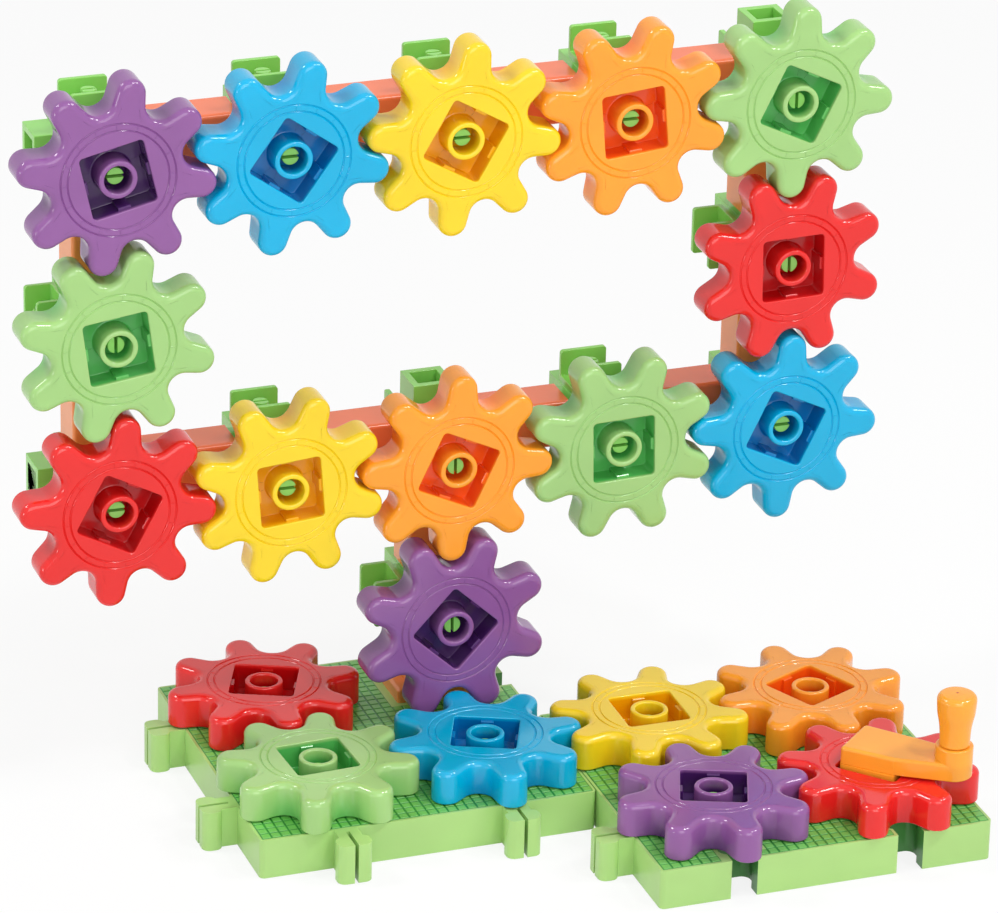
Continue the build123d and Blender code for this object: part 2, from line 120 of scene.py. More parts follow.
# Colour of the surface, painted shade colour for gaps and recesses, and roughness.
PLASTIC = {
    "purple": ((0.56, 0.35, 0.60), (0.28, 0.12, 0.38), 0.15),
    "blue": ((0.00, 0.68, 0.86), (0.00, 0.46, 0.72), 0.15),
    "yellow": ((0.96, 0.82, 0.12), (0.93, 0.66, 0.02), 0.15),
    "orange": ((0.99, 0.62, 0.16), (0.95, 0.37, 0.07), 0.15),
    "light_green": ((0.63, 0.80, 0.49), (0.34, 0.72, 0.36), 0.17),
    "red": ((0.89, 0.14, 0.13), (0.76, 0.04, 0.06), 0.14),
    "base_green": ((0.66, 0.82, 0.49), (0.02, 0.46, 0.16), 0.34),
    # Tile green: the plate's green painted darker, standing for the shade over the plate's top.
    "shaded_tile_green": ((0.44, 0.75, 0.35), (0.18, 0.54, 0.20), 0.34),
    "connector_green": ((0.56, 0.84, 0.39), (0.14, 0.55, 0.20), 0.20),
    "coral": ((0.96, 0.47, 0.29), (0.72, 0.14, 0.08), 0.22),
    "light_orange": ((0.97, 0.58, 0.30), (0.90, 0.34, 0.10), 0.22),
    "amber": ((0.98, 0.65, 0.19), (0.92, 0.48, 0.06), 0.18),
    "gate_mark": ((0.72, 0.26, 0.16), (0.50, 0.12, 0.08), 0.40),
}


def noise(tree, place, scale, detail, distortion=0.0):
    """Noise over the object's own coordinates, in metres."""
    node = tree.nodes.new("ShaderNodeTexNoise")
    node.inputs["Scale"].default_value = scale
    node.inputs["Detail"].default_value = detail
    node.inputs["Distortion"].default_value = distortion
    tree.links.new(place.outputs["Object"], node.inputs["Vector"])
    return node


def plastic(name, colour, shade_colour, roughness):
    """Glossy moulded plastic: faint flow, painted shade in hollows, soft ripples and scuffs."""
    material = bpy.data.materials.new(name)
    material.use_nodes = True
    tree = material.node_tree
    shader = tree.nodes["Principled BSDF"]
    shader.inputs["IOR"].default_value = 1.5
    shader.inputs["Subsurface Weight"].default_value = 0.12
    shader.inputs["Subsurface Radius"].default_value = (1.0, 0.7, 0.5)
    shader.inputs["Subsurface Scale"].default_value = 0.0012
    place = tree.nodes.new("ShaderNodeTexCoord")

    flow = noise(tree, place, 38, 2, 0.6)
    tint = tree.nodes.new("ShaderNodeValToRGB")
    tint.color_ramp.elements[0].position = 0.30
    tint.color_ramp.elements[0].color = linear(shade(colour, 0.975))
    tint.color_ramp.elements[1].position = 0.70
    tint.color_ramp.elements[1].color = linear(shade(colour, 1.015))
    tree.links.new(flow.outputs["Fac"], tint.inputs["Fac"])
    # Painted shade: a mesh attribute blends in the darker shade colour in recesses, gaps, slot walls and tile
    # grooves.
    painted_shade = tree.nodes.new("ShaderNodeAttribute")
    painted_shade.attribute_name = "painted_shade"
    mixed = tree.nodes.new("ShaderNodeMix")
    mixed.data_type = "RGBA"
    mixed.inputs["B"].default_value = linear(shade_colour)
    tree.links.new(painted_shade.outputs["Fac"], mixed.inputs["Factor"])
    tree.links.new(tint.outputs["Color"], mixed.inputs["A"])
    tree.links.new(mixed.outputs["Result"], shader.inputs["Base Color"])

    scuff = noise(tree, place, 120, 3)
    gloss = tree.nodes.new("ShaderNodeMapRange")
    gloss.inputs["From Min"].default_value = 0.3
    gloss.inputs["From Max"].default_value = 0.7
    gloss.inputs["To Min"].default_value = roughness - 0.03
    gloss.inputs["To Max"].default_value = roughness + 0.04
    tree.links.new(scuff.outputs["Fac"], gloss.inputs["Value"])
    tree.links.new(gloss.outputs["Result"], shader.inputs["Roughness"])

    ripple = noise(tree, place, 110, 1)
    bump = tree.nodes.new("ShaderNodeBump")
    bump.inputs["Strength"].default_value = 0.25
    bump.inputs["Distance"].default_value = 0.0001
    tree.links.new(ripple.outputs["Fac"], bump.inputs["Height"])
    tree.links.new(bump.outputs["Normal"], shader.inputs["Normal"])
    return material


MATERIALS = {name: plastic(name, *look) for name, look in PLASTIC.items()}

# ---------------------------------------------------------------- gear meshes
TEETH = 8
TOOTH_STEP = 2 * math.pi / TEETH
TIP_REACH = 0.572 * PITCH
TIP_ROUND = 0.085 * PITCH
ROOT_REACH = 0.385 * PITCH
ROOT_ROUND = 0.088 * PITCH
GEAR_T = 10.2 * MM
FRONT_EDGE = 2.0 * MM
BACK_EDGE = 0.5 * MM
RING_OUTER = 16.6 * MM
RING_INNER = 14.6 * MM
RING_HALF = 0.32 * MM
RING_DEPTH = 0.32 * MM
SEAM_OUTER = 15.3 * MM           # where the toothed part meets the recessed part
SEAM_INNER = 15.0 * MM
RECESS_HALF = 9.5 * MM
RECESS_CORNER = 1.2 * MM
RECESS_DEPTH = 7.6 * MM
RECESS_EDGE = 0.35 * MM
PAD_HALF = 1.8 * MM              # low pad in the middle of each wall of the recess
PAD_REACH = 0.8 * MM
PAD_TOP = 1.2 * MM
PAD_EDGE = 0.2 * MM
HUB_R = 5.6 * MM
HUB_BORE_R = 4.05 * MM
HUB_EDGE = 0.6 * MM
SHAFT_HOLE_R = 2.4 * MM

TIP_STEPS = 18
ROOT_STEPS = 20
TICKS = 16
TICK_OUTER = 16.2 * MM
TICK_INNER = 15.0 * MM
TICK_HALF = 0.16 * MM
TICK_HEIGHT = 0.12 * MM


def polar(radius, angle):
    """Point at a radius and angle."""
    return (radius * math.cos(angle), radius * math.sin(angle))


def circle(radius, count):
    """Points of a whole circle."""
    return [polar(radius, 2 * math.pi * k / count) for k in range(count)]


def square(x, y, half):
    """Corners of a square about a point."""
    return [(x - half, y - half), (x + half, y - half), (x + half, y + half), (x - half, y + half)]


def flank_angle():
    """Angle about a tooth's round centre where the straight flank leaves the tip arc."""
    root = polar(ROOT_REACH + ROOT_ROUND, TOOTH_STEP / 2)
    run = (root[0] - (TIP_REACH - TIP_ROUND), root[1])
    lean = math.acos((TIP_ROUND + ROOT_ROUND) / math.hypot(*run))
    return math.atan2(run[1], run[0]) - lean


FLANK = flank_angle()


def tooth_loop(inset, phase):
    """Gear outline moved inwards by inset; phase turns the middle of a gap from +X."""
    points = []
    for step in range(TEETH):
        turn = phase + TOOTH_STEP / 2 + step * TOOTH_STEP
        tip = polar(TIP_REACH - TIP_ROUND, turn)
        for k in range(TIP_STEPS + 1):
            angle = turn - FLANK + 2 * FLANK * k / TIP_STEPS
            x, y = polar(TIP_ROUND - inset, angle)
            points.append((tip[0] + x, tip[1] + y))
        root = polar(ROOT_REACH + ROOT_ROUND, turn + TOOTH_STEP / 2)
        for k in range(ROOT_STEPS + 1):
            angle = turn + FLANK + math.pi + (TOOTH_STEP - 2 * FLANK) * k / ROOT_STEPS
            x, y = polar(ROOT_ROUND + inset, angle)
            points.append((root[0] + x, root[1] + y))
    return points


def recess_loop(grow, turn, reach=0.0):
    """Square recess outline, grown outwards by grow and turned; its four pads reach inwards."""
    half = RECESS_HALF + grow
    corner = RECESS_CORNER + grow
    foot_half = PAD_HALF + 0.1 * MM
    steps = [1.0, 0.76, 0.52, 0.34]
    quarter = [(half, -s * (half - corner)) for s in steps]
    quarter += [(half, -foot_half), (half - reach, -PAD_HALF), (half - reach, -PAD_HALF / 3)]
    quarter += [(half - reach, PAD_HALF / 3), (half - reach, PAD_HALF), (half, foot_half)]
    quarter += [(half, s * (half - corner)) for s in reversed(steps)]
    for k in range(1, 6):
        x, y = polar(corner, math.pi / 2 * k / 6)
        quarter.append((half - corner + x, half - corner + y))
    points = []
    for side in range(4):
        angle = turn + side * math.pi / 2
        c, s = math.cos(angle), math.sin(angle)
        points += [(x * c - y * s, x * s + y * c) for x, y in quarter]
    return points


def ring_loop(radius, like):
    """Circle whose points stand at the same angles as the points of another loop."""
    return [polar(radius, math.atan2(y, x)) for x, y in like]


def add_loop(mesh, points, height):
    """One closed loop of vertices at a height; height may be a list, one value a point."""
    heights = height if isinstance(height, list) else [height] * len(points)
    return [mesh.verts.new((x, y, z)) for (x, y), z in zip(points, heights)]


def skin(mesh, loops):
    """Quads between neighbouring loops of equal length."""
    for lower, upper in zip(loops, loops[1:]):
        count = len(lower)
        for k in range(count):
            after = (k + 1) % count
            mesh.faces.new((lower[k], lower[after], upper[after], upper[k]))


def closed_stack(mesh, loops):
    """Closed solid from a stack of equal loops with both ends filled."""
    skin(mesh, loops)
    mesh.faces.new(loops[0][::-1])
    mesh.faces.new(loops[-1])


def join_rings(mesh, outer, inner):
    """Triangles between two concentric loops with different numbers of points."""
    def ordered(loop):
        angles = [math.atan2(v.co.y, v.co.x) % (2 * math.pi) for v in loop]
        first = min(range(len(loop)), key=lambda k: angles[k])
        turned = loop[first:] + loop[:first]
        return turned, angles[first:] + angles[:first]
    a, angle_a = ordered(outer)
    b, angle_b = ordered(inner)
    i = j = 0
    full = 2 * math.pi
    while i < len(a) or j < len(b):
        next_a = angle_a[i + 1] if i + 1 < len(a) else angle_a[0] + full
        next_b = angle_b[j + 1] if j + 1 < len(b) else angle_b[0] + full
        here_a, here_b = a[i % len(a)], b[j % len(b)]
        if i < len(a) and (j >= len(b) or next_a <= next_b):
            mesh.faces.new((here_a, a[(i + 1) % len(a)], here_b))
            i += 1
        else:
            mesh.faces.new((here_a, b[(j + 1) % len(b)], here_b))
            j += 1


def round_steps(radius, steps):
    """(inset, drop) pairs of a quarter round, from the flat face down to the wall."""
    pairs = []
    for k in range(steps + 1):
        angle = math.pi / 2 * k / steps
        pairs.append((radius * (1 - math.sin(angle)), radius * (1 - math.cos(angle))))
    return pairs


def groove(mesh, radius, like, heights):
    """Loops of a shallow round-bottomed ring, from its outer to its inner lip."""
    loops = []
    for shift, depth in ((1, 0), (0.7, 0.6), (0, 1), (-0.7, 0.6), (-1, 0)):
        drop = [min(z, 0) - depth * RING_DEPTH if depth else z for z in heights]
        loops.append(add_loop(mesh, ring_loop(radius + shift * RING_HALF, like), drop))
    return loops


def add_tick(mesh, angle):
    """Small raised mark between the two rings: a low closed wedge set into the face."""
    c, s = math.cos(angle), math.sin(angle)
    loops = []
    for height, trim in ((-TICK_HEIGHT, 0.0), (TICK_HEIGHT, 0.08 * MM)):
        x0, x1, half = TICK_INNER + trim, TICK_OUTER - trim, TICK_HALF - trim
        corners = [(x0, -half), (x1, -half), (x1, half), (x0, half)]
        loops.append([mesh.verts.new((x * c - y * s, x * s + y * c, height)) for x, y in corners])
    closed_stack(mesh, loops)


def ramp(value, start, end):
    """0 up to start, 1 from end on."""
    return min(1, max(0, (value - start) / (end - start)))


def painted_shade_weight(x, y, z):
    """Weight of painted shade at a point of a gear, 0 to 1: it grows down the recess, bore and hub and towards the
    roots of the gaps between teeth.
    """
    radius = math.hypot(x, y)
    if radius < HUB_BORE_R + 0.1 * MM:
        return ramp(-z, 0.6 * MM, 3 * MM)
    if radius < HUB_R + 0.05 * MM:
        return 0.7 * ramp(-z, 1.5 * MM, RECESS_DEPTH)
    if radius < SEAM_INNER:
        return ramp(-z, 0.3 * MM, 1.4 * MM)
    near_root = ramp(TIP_REACH - radius, 0, TIP_REACH - ROOT_REACH)
    return 0.75 * near_root ** 1.5 * ramp(-z, FRONT_EDGE, FRONT_EDGE + 0.7 * GEAR_T)


def gear_mesh(name, phase, recess_turn):
    """One gear as a closed mesh: face at z = 0, outwards +Z."""
    mesh = bmesh.new()
    outline = tooth_loop(0, phase)
    flat = [0.0] * len(outline)
    loops = [add_loop(mesh, ring_loop(SEAM_OUTER, outline), -GEAR_T)]
    for inset, drop in round_steps(BACK_EDGE, 3):
        loops.append(add_loop(mesh, tooth_loop(inset, phase), -GEAR_T + drop))
    for share in (0.75, 0.55, 0.38):
        loops.append(add_loop(mesh, tooth_loop(0, phase), -GEAR_T * share))
    for inset, drop in reversed(round_steps(FRONT_EDGE, 7)):
        loops.append(add_loop(mesh, tooth_loop(inset, phase), -drop))
    loops.append(add_loop(mesh, tooth_loop(FRONT_EDGE + 0.3 * MM, phase), 0.0))
    loops.append(add_loop(mesh, ring_loop(RING_OUTER + 1.5 * RING_HALF, outline), 0.0))
    loops += groove(mesh, RING_OUTER, outline, flat)
    loops.append(add_loop(mesh, ring_loop(SEAM_OUTER, outline), 0.0))
    skin(mesh, loops)
    back_outer, front_outer = loops[0], loops[-1]

    edge = recess_loop(0, recess_turn)
    flat = [0.0] * len(edge)
    inner = [add_loop(mesh, ring_loop(SEAM_INNER, edge), 0.0)]
    inner += groove(mesh, RING_INNER, edge, flat)
    inner.append(add_loop(mesh, recess_loop(RECESS_EDGE * 1.6, recess_turn), 0.0))
    for grow, drop in round_steps(RECESS_EDGE, 3):
        inner.append(add_loop(mesh, recess_loop(grow, recess_turn), -drop))
    walls = [
        (0, 0, -PAD_TOP),
        (0, PAD_REACH - PAD_EDGE, -PAD_TOP),
        (0, PAD_REACH, -PAD_TOP - PAD_EDGE),
        (0, PAD_REACH, -RECESS_DEPTH / 2),
        (0, PAD_REACH, -RECESS_DEPTH + RECESS_EDGE),
        (-0.3 * RECESS_EDGE, PAD_REACH, -RECESS_DEPTH + 0.3 * RECESS_EDGE),
        (-RECESS_EDGE, PAD_REACH, -RECESS_DEPTH),
    ]
    inner += [add_loop(mesh, recess_loop(grow, recess_turn, reach), z) for grow, reach, z in walls]
    profile = [
        (HUB_R + HUB_EDGE, -RECESS_DEPTH),
        (HUB_R + 0.3 * HUB_EDGE, -RECESS_DEPTH + 0.3 * HUB_EDGE),
        (HUB_R, -RECESS_DEPTH + HUB_EDGE),
        (HUB_R, -RECESS_DEPTH / 2),
    ]
    profile += [(HUB_R - inset, -drop) for inset, drop in reversed(round_steps(HUB_EDGE, 4))]
    profile += [(HUB_BORE_R + inset, -drop) for inset, drop in round_steps(HUB_EDGE, 4)]
    profile += [
        (HUB_BORE_R, -RECESS_DEPTH / 2),
        (HUB_BORE_R, -RECESS_DEPTH + 0.3 * MM),
        (HUB_BORE_R - 0.3 * MM, -RECESS_DEPTH),
        (SHAFT_HOLE_R + 0.2 * MM, -RECESS_DEPTH),
        (SHAFT_HOLE_R, -RECESS_DEPTH - 0.2 * MM),
        (SHAFT_HOLE_R, -GEAR_T + 0.2 * MM),
        (SHAFT_HOLE_R + 0.2 * MM, -GEAR_T),
        (SEAM_INNER, -GEAR_T),
    ]
    inner += [add_loop(mesh, ring_loop(radius, edge), height) for radius, height in profile]
    skin(mesh, inner)
    join_rings(mesh, front_outer, inner[0])
    join_rings(mesh, back_outer, inner[-1])
    for k in range(TICKS):
        add_tick(mesh, phase + (k + 0.5) * 2 * math.pi / TICKS)
    bmesh.ops.recalc_face_normals(mesh, faces=mesh.faces)
    data = mesh_data(name, mesh)
    # Painted shade weights, stored on the mesh for the material.
    painted_shade = data.attributes.new("painted_shade", "FLOAT", "POINT")
    painted_shade.data.foreach_set("value", [painted_shade_weight(*vertex.co) for vertex in data.vertices])
    return data


SHARP_ANGLE = math.radians(40)
FLAT_WEIGHT = 80                 # how strongly large faces rule the normals, out of 100


def finish_shading(piece):
    """Smooth shading with crisp creases and normals that keep the flats flat."""
    for face in piece.data.polygons:
        face.use_smooth = True
    piece.data.set_sharp_from_angle(angle=SHARP_ANGLE)
    weighted = piece.modifiers.new("flat_faces", "WEIGHTED_NORMAL")
    weighted.keep_sharp = True
    weighted.weight = FLAT_WEIGHT


def dress(piece, node):
    """Give a piece the material of its slot and its body, and let it stand for its CAD node."""
    slot = NODE_SLOT[node]
    piece.data.materials.clear()
    piece.data.materials.append(MATERIALS[slot])
    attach(piece, NODE_BODY[node])
    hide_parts(node)


def place_replacement(node, data, place):
    """Piece from finished mesh data, moved to its place, that stands for a CAD node."""
    data.transform(place)
    piece = add_object(f"{node}_plastic", data)
    finish_shading(piece)
    dress(piece, node)


def add_replacement(node, mesh, place):
    """Piece from a bmesh that stands for a CAD node."""
    place_replacement(node, mesh_data(node, mesh), place)


# Turn of a gap and turn of a recess corner from it, in degrees, as each gear stands at rest.
WALL_TURNS = {
    "top_1": (13.05, 45), "top_2": (9.35, 0), "top_3": (15.15, 0), "top_4": (5.45, 45),
    "top_5": (19.05, 0), "left": (7.55, 45), "right": (1.45, 45), "bottom_1": (16.95, 0),
    "bottom_2": (4.75, 45), "bottom_3": (19.75, 0), "bottom_4": (1.75, 45),
    "bottom_5": (19.05, 0), "leg": (2.0, 0),
}
BASE_TURNS = {
    "base_gear_rear": (21.4, 0), "base_gear_left": (3.0, 45), "base_gear_middle": (21.4, 0),
    "base_gear_right": (-0.8, 45), "base_gear_far_right": (25.0, 45),
    "base_gear_front": (23.7, 0), "crank_gear": (-3.0, 0),
}


def add_gear(node, turns, upright):
    """Gear piece in the place of its CAD node."""
    low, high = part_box(node)
    joint = Vector(JOINT_OF_BODY[NODE_BODY[node]]["pos_m"])
    if upright:
        place = Matrix.Translation((joint.x, low.y, joint.z)) @ Matrix.Rotation(math.pi / 2, 4, "X")
    else:
        place = Matrix.Translation((joint.x, joint.y, high.z))
    gap, corner = turns
    data = gear_mesh(node, math.radians(gap), math.radians(gap + corner - 45))
    place_replacement(node, data, place)


# ---------------------------------------------------------------- other pieces
SAME_POINT = 1e-6                # metres
SAME_PLANE = math.radians(0.4)
LEVEL = 0.9                      # least upright share of the normal of a level face
BEVEL_ANGLE = math.radians(34)
BEVEL_STEPS = 3
PLATE_EDGE = 0.6 * MM
CONNECTOR_EDGE = 0.5 * MM
OTHER_EDGE = 0.35 * MM


def merge_flat_faces(mesh, keep_level):
    """Join the coplanar triangles of a CAD mesh; level faces can be left as they are."""
    edges = [
        edge for edge in mesh.edges
        if not (keep_level and any(abs(face.normal.z) > LEVEL for face in edge.link_faces))
    ]
    bmesh.ops.dissolve_limit(mesh, angle_limit=SAME_PLANE, verts=[], edges=edges)


def rounded_copy(node, width, keep_level=False):
    """Piece with a CAD node's faces, merged and cleaned, and every edge rounded."""
    data = frame["nodes"][node].data.copy()
    mesh = bmesh.new()
    mesh.from_mesh(data)
    bmesh.ops.remove_doubles(mesh, verts=mesh.verts, dist=SAME_POINT)
    merge_flat_faces(mesh, keep_level)
    mesh.to_mesh(data)
    mesh.free()
    data.name = f"{node}_rounded"
    piece = add_object(f"{node}_plastic", data)
    bevel = piece.modifiers.new("rounded_edges", "BEVEL")
    bevel.width = width
    bevel.segments = BEVEL_STEPS
    bevel.limit_method = "ANGLE"
    bevel.angle_limit = BEVEL_ANGLE
    bevel.miter_outer = "MITER_ARC"
    finish_shading(piece)
    dress(piece, node)
    return piece


def add_detail(name, mesh, material, body):
    """Small surface detail that rides on a body."""
    data = mesh_data(name, mesh)
    data.materials.append(MATERIALS[material])
    piece = add_object(name, data)
    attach(piece, body)
    return piece


# Plates: middle on the grid, and the slots in their edges as (x, y) in pitches from that middle.
PLATE_HALF = PITCH - 0.15 * MM
TILES = 34                       # a side of a plate
TILE_MARGIN = 0.8 * MM
TILE_STEP = 2 * (PLATE_HALF - TILE_MARGIN) / TILES
TILE_GAP = 0.40 * MM
TILE_HEIGHT = 0.2 * MM
TILE_SLOPE = 0.16 * MM
TILE_JOIN = 0.002 * MM           # keeps neighbouring tiles apart
TILE_GROOVE = 0.03 * MM          # floor of the grooves over the deck
SLOT_DEPTH = 0.226 * PITCH
SLOT_HALF = 0.111 * PITCH
SLOT_SLACK = 0.1 * MM
SLOT_LIP = 0.5 * MM              # outermost part of a slot, left in the plate's own colour
# Share of the painted shade colour on the slot walls.
SLOT_SHADE = 0.85
MOUTH_DEPTH = 0.080 * PITCH
MOUTH_HALF = 0.078 * PITCH
SOCKET_HALF = 4.1 * MM
FOOT_HALF = 0.22 * PITCH
FOOT_PLACE = (0.0, 1.098 * PITCH)
PLATES = {
    "left_plate": (-0.5, 0.5, ((1, -0.5), (1, 0.5), (-0.5, 1), (0.5, 1))),
    "right_plate": (1.5, -0.5, ((1, -0.5), (1, 0.5), (-0.5, -1), (0.5, -1))),
}


def slot_spot(x, y, middle, slot):
    """Distance along the plate's edge from a slot's middle, and inwards from that edge."""
    u, v = x - middle[0], y - middle[1]
    a, b = slot
    if abs(a) == 1:
        return abs(v - b * PITCH), PLATE_HALF - u * a
    return abs(u - a * PITCH), PLATE_HALF - v * b


def tile_is_free(x, y, middle, slots):
    """True where a tile is clear of the plate's slots, its sockets and the leg's foot."""
    reach = TILE_STEP / 2
    for slot in slots:
        along, inward = slot_spot(x, y, middle, slot)
        half = MOUTH_HALF if inward + reach < MOUTH_DEPTH else SLOT_HALF
        if along < half + reach and inward < SLOT_DEPTH + reach:
            return False
    for a in (-0.5, 0.5):
        for b in (-0.5, 0.5):
            socket = max(abs(x - middle[0] - a * PITCH), abs(y - middle[1] - b * PITCH))
            if socket < SOCKET_HALF + reach:
                return False
    return max(abs(x - FOOT_PLACE[0]), abs(y - FOOT_PLACE[1])) > FOOT_HALF + reach


def paint_slot_shade(piece, node):
    """Painted shade on the walls of a plate's slots."""
    a, b, slots = PLATES[node]
    middle = (a * PITCH, b * PITCH)
    shade_by_face = []
    for face in piece.data.polygons:
        spots = [slot_spot(face.center.x, face.center.y, middle, slot) for slot in slots]
        inside = any(
            along < SLOT_HALF + SLOT_SLACK and SLOT_LIP < inward < SLOT_DEPTH + SLOT_SLACK
            for along, inward in spots
        )
        shade_by_face.append(SLOT_SHADE if inside and abs(face.normal.z) < 0.5 else 0.0)
    painted_shade = piece.data.attributes.new("painted_shade", "FLOAT", "FACE")
    painted_shade.data.foreach_set("value", shade_by_face)


def add_tiles(node):
    """Field of low square tiles on top of a plate, each a closed frustum set into the deck."""
    a, b, slots = PLATES[node]
    middle = (a * PITCH, b * PITCH)
    mesh = bmesh.new()
    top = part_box(node)[1].z
    half = (TILE_STEP - TILE_GAP) / 2
    foot = TILE_STEP / 2 - TILE_JOIN
    groove_z = top + TILE_GROOVE
    profile = (
        (foot, top - TILE_HEIGHT),
        (foot, groove_z),
        (half, groove_z),
        (half - TILE_SLOPE, top + TILE_HEIGHT),
    )
    for i in range(TILES):
        for j in range(TILES):
            x = middle[0] + (i + 0.5 - TILES / 2) * TILE_STEP
            y = middle[1] + (j + 0.5 - TILES / 2) * TILE_STEP
            if not tile_is_free(x, y, middle, slots):
                continue
            loops = []
            for side, z in profile:
                loops.append(add_loop(mesh, square(x, y, side), z))
            closed_stack(mesh, loops)
    piece = add_detail(f"{node}_tiles", mesh, "shaded_tile_green", "root")
    # Painted shade: the lower vertices of each tile, in the grooves, take the full shade colour.
    painted_shade = piece.data.attributes.new("painted_shade", "FLOAT", "POINT")
    depth = [1.0 if vertex.co.z < top + TILE_HEIGHT / 2 else 0.0 for vertex in piece.data.vertices]
    painted_shade.data.foreach_set("value", depth)


# Crank and knob: places from the crank gear's axis, heights over the plate's top.
CRANK_TURN = math.radians(-3.0)
CRANK_HUB_SIDE = 17.0 * MM
CRANK_CORNER = 1.2 * MM
CRANK_BEND = (-0.004 * PITCH, -0.215 * PITCH)
CRANK_EDGE = 1.0 * MM
CRANK_TOP = 0.330 * PITCH
CRANK_UNDERSIDE = 0.224 * PITCH
UNDER_EDGE = 0.3 * MM
GEAR_FACE = 0.211 * PITCH
PLUG_DEPTH = 6.0 * MM
PLUG_EDGE = 0.4 * MM
PLUG_LAP = 0.1 * MM              # the plug's column ends this far inside the arm
PLUG_HOLE_R = 5.8 * MM
KNOB_X = 0.329 * PITCH
KNOB_Y = -0.294 * PITCH
BOSS_R = 0.108 * PITCH
BOSS_TOP = 0.412 * PITCH
BOSS_TURNS = (math.radians(40), math.radians(-122))
BOSS_EDGE = 0.45 * MM
PIN_R = 2.1 * MM
PIN_LENGTH = 10 * MM
PIN_STRAIGHT = 9.6 * MM
PIN_EDGE = 0.4 * MM
KNOB_FOOT = BOSS_TOP + 0.2 * MM
KNOB_TOP = 0.734 * PITCH
KNOB_WAIST = (                   # radius and height over the boss, in pitches
    (0.088, 0.014), (0.087, 0.031), (0.089, 0.084), (0.095, 0.137), (0.106, 0.190), (0.111, 0.238),
)
KNOB_HEAD_R = 0.113 * PITCH
KNOB_CROWN = 1.8 * MM
KNOB_DOME = 0.2 * MM
KNOB_BORE_R = 2.15 * MM
KNOB_BORE_DEPTH = 11.0 * MM
KNOB_BORE_EDGE = 0.2 * MM
GATE_SINK = 0.04 * MM
GATE_MARK = ((0.55 * MM, -0.3 * MM), (0.55 * MM, 0.0), (0.35 * MM, 0.03 * MM))
AROUND = 64


def rounded_corners(points, radius, count):
    """First corners of a convex counter-clockwise outline as arcs, each point with its normal."""
    result = []
    for k in range(count):
        (x, y), before, after = points[k], points[k - 1], points[(k + 1) % len(points)]
        into = Vector((x - before[0], y - before[1])).normalized()
        out = Vector((after[0] - x, after[1] - y)).normalized()
        first = math.atan2(-into.x, into.y)
        turn = -into.angle_signed(out)
        centre = Vector((x, y)) - into * radius * math.tan(turn / 2)
        centre -= Vector((math.cos(first), math.sin(first))) * radius
        for step in range(7):
            normal = polar(1, first + turn * step / 6)
            result.append(((centre.x + radius * normal[0], centre.y + radius * normal[1]), normal))
    return result


def arc(centre, radius, start, end, steps):
    """Points of an arc, each with its normal."""
    result = []
    for step in range(steps + 1):
        normal = polar(1, start + (end - start) * step / steps)
        result.append(((centre[0] + radius * normal[0], centre[1] + radius * normal[1]), normal))
    return result


def inset_loop(outline, inset):
    """Outline moved inwards along its normals."""
    return [(x - inset * u, y - inset * v) for (x, y), (u, v) in outline]


def hub_corners():
    """Corners of the crank's square hub."""
    return [polar(CRANK_HUB_SIDE / math.sqrt(2), CRANK_TURN + k * math.pi / 2) for k in range(4)]


def arm_outline():
    """Crank arm seen from above: the square hub's side, two straight edges and the boss's arc."""
    boss = arc((KNOB_X, KNOB_Y), BOSS_R, BOSS_TURNS[1], BOSS_TURNS[0], 32)
    points = hub_corners()[:3] + [CRANK_BEND, boss[0][0], boss[-1][0]]
    return rounded_corners(points, CRANK_CORNER, 4) + boss


def add_crank_arm():
    """Crank arm with its plug column, boss and the pin of the knob."""
    joint = Vector(JOINT_OF_BODY[NODE_BODY["crank_gear"]]["pos_m"])
    mesh = bmesh.new()
    arm = arm_outline()
    loops = [add_loop(mesh, inset_loop(arm, UNDER_EDGE), CRANK_UNDERSIDE)]
    loops.append(add_loop(mesh, inset_loop(arm, 0), CRANK_UNDERSIDE + UNDER_EDGE))
    for inset, drop in reversed(round_steps(CRANK_EDGE, 5)):
        loops.append(add_loop(mesh, inset_loop(arm, inset), CRANK_TOP - drop))
    closed_stack(mesh, loops)

    plug = rounded_corners(hub_corners(), CRANK_CORNER, 4)
    outer = inset_loop(plug, 0)
    foot = GEAR_FACE - PLUG_DEPTH
    loops = [
        add_loop(mesh, ring_loop(PLUG_HOLE_R, outer), GEAR_FACE),
        add_loop(mesh, ring_loop(PLUG_HOLE_R, outer), foot),
        add_loop(mesh, inset_loop(plug, PLUG_EDGE), foot),
        add_loop(mesh, outer, foot + PLUG_EDGE),
        add_loop(mesh, outer, CRANK_UNDERSIDE + PLUG_LAP),
    ]
    closed_stack(mesh, loops)

    boss = arc((KNOB_X, KNOB_Y), BOSS_R, 0, 2 * math.pi, AROUND)[:-1]
    loops = [add_loop(mesh, inset_loop(boss, UNDER_EDGE), CRANK_UNDERSIDE)]
    loops.append(add_loop(mesh, inset_loop(boss, 0), CRANK_UNDERSIDE + UNDER_EDGE))
    for inset, drop in reversed(round_steps(BOSS_EDGE, 4)):
        loops.append(add_loop(mesh, inset_loop(boss, inset), BOSS_TOP - drop))
    pin = BOSS_R - PIN_R
    loops.append(add_loop(mesh, inset_loop(boss, pin), BOSS_TOP))
    loops.append(add_loop(mesh, inset_loop(boss, pin), BOSS_TOP + PIN_STRAIGHT))
    loops.append(add_loop(mesh, inset_loop(boss, pin + PIN_EDGE), BOSS_TOP + PIN_LENGTH))
    closed_stack(mesh, loops)
    bmesh.ops.recalc_face_normals(mesh, faces=mesh.faces)
    add_replacement("crank_arm", mesh, Matrix.Translation((joint.x, joint.y, PLATE_TOP)))


